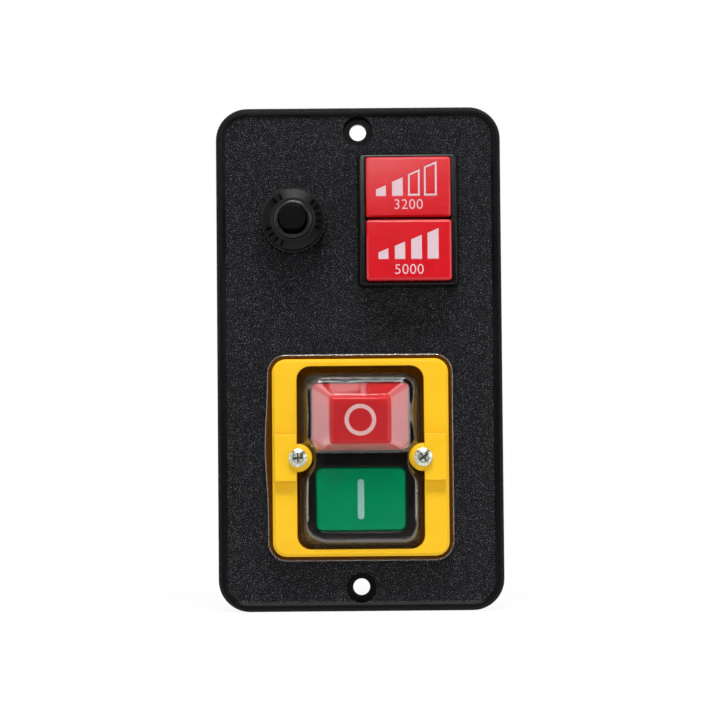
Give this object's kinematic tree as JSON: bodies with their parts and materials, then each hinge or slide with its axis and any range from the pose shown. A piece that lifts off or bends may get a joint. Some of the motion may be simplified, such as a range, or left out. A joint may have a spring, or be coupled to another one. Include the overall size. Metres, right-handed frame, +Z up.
{
  "type": "machine control panel",
  "caption": "Panel-mounted machine switch: start and stop buttons under a clear boot, a two-speed selector and a push-to-reset breaker.",
  "frame": {"origin": "midway between the two mounting holes, on the plane of the plate's back edge, which seats on the machine", "axes": "+Z up along the plate, +X to the right seen from the front, front towards -Y"},
  "size_m": [0.088, 0.0629, 0.1554],
  "materials": {
    "panel_black": "fine moulded texture, semi-matte",
    "case_black": "semi-matte",
    "base_black": "matte",
    "zinc": "bright zinc plating",
    "clear_silicone": "clear, glossy, soft",
    "yellow_plastic": "semi-gloss",
    "stop_red": "gloss",
    "mark_white": "printed",
    "mark_green_white": "printed",
    "start_green": "semi-gloss",
    "spring_steel": "bright",
    "copper_alloy": "bright",
    "terminal_brass": "bright",
    "carrier_plastic": "matte",
    "magnet_steel": "ground",
    "bobbin_plastic": "matte",
    "copper_wire": "enamelled",
    "key_red": "gloss",
    "rocker_plastic": "matte",
    "nut_black": "semi-matte",
    "bimetal": "bright"
  },
  "bodies": {
    "panel": {"panel_plate": "panel_black", "switch_case": "case_black", "switch_base": "base_black", "base_screws": "zinc", "clear_boot": "clear_silicone", "yellow_frame": "yellow_plastic", "frame_screw_left": "zinc", "frame_screw_right": "zinc", "stop_spring": "spring_steel", "stop_terminal_left": "terminal_brass", "stop_terminal_right": "terminal_brass", "start_spring": "spring_steel", "carrier_spring_upper": "spring_steel", "carrier_spring_lower": "spring_steel", "magnet_core": "magnet_steel", "coil_bobbin": "bobbin_plastic", "coil_winding": "copper_wire", "main_terminal_1": "terminal_brass", "main_terminal_2": "terminal_brass", "main_terminal_3": "terminal_brass", "main_terminal_4": "terminal_brass", "selector_case": "case_black", "selector_base": "base_black", "rocker_pin": "spring_steel", "selector_terminal_low": "terminal_brass", "selector_terminal_common": "terminal_brass", "selector_terminal_high": "terminal_brass", "breaker_case": "case_black", "breaker_cover": "base_black", "reset_nut": "nut_black", "reset_spring": "spring_steel", "bimetal_strip": "bimetal", "breaker_terminal_line": "terminal_brass", "breaker_terminal_load": "terminal_brass"},
    "stop": {"stop_button": "stop_red", "stop_mark": "mark_white", "stop_retainer": "spring_steel", "stop_bridge": "copper_alloy"},
    "start": {"start_button": "start_green", "start_mark": "mark_green_white", "start_retainer": "spring_steel"},
    "carrier": {"contact_carrier": "carrier_plastic", "armature": "magnet_steel", "moving_contact_left": "copper_alloy", "moving_contact_right": "copper_alloy"},
    "low_key": {"low_speed_button": "key_red", "low_speed_marks": "mark_white"},
    "high_key": {"high_speed_button": "key_red", "high_speed_marks": "mark_white"},
    "rocker": {"selector_rocker": "rocker_plastic", "rocker_contact": "copper_alloy"},
    "reset": {"reset_button": "nut_black"}
  },
  "joints": [
    {"name": "stop_press", "type": "slide", "parent": "panel", "child": "stop", "axis": [0, 1, 0], "range_m": [0, 0.003], "stiffness_N_per_m": 900, "springref_m": -0.003, "deforming": ["stop_spring"]},
    {"name": "start_press", "type": "slide", "parent": "panel", "child": "start", "axis": [0, 1, 0], "range_m": [0, 0.003], "stiffness_N_per_m": 900, "springref_m": -0.003, "deforming": ["start_spring"]},
    {"name": "carrier_slide", "type": "slide", "parent": "panel", "child": "carrier", "axis": [0, 1, 0], "range_m": [0, 0.003], "deforming": ["carrier_spring_upper", "carrier_spring_lower"]},
    {"name": "high_speed_press", "type": "slide", "parent": "panel", "child": "high_key", "axis": [0, 1, 0], "range_m": [0, 0.0035]},
    {"name": "low_speed_press", "type": "slide", "parent": "panel", "child": "low_key", "axis": [0, 1, 0], "range_m": [-0.0035, 0]},
    {"name": "rocker_tilt", "type": "hinge", "parent": "panel", "child": "rocker", "pos_m": [0.0153, 0.009, 0.0426], "axis": [1, 0, 0], "range_deg": [0, 20.54]},
    {"name": "reset_press", "type": "slide", "parent": "panel", "child": "reset", "axis": [0, 1, 0], "range_m": [0, 0.003], "deforming": ["reset_spring"]}
  ],
  "couplings": [
    {"joint": "carrier_slide", "follows": "start_press", "ratio": 1},
    {"joint": "low_speed_press", "follows": "high_speed_press", "ratio": -1},
    {"joint": "rocker_tilt", "follows": "high_speed_press", "rad_per_m": 102.33}
  ]
}
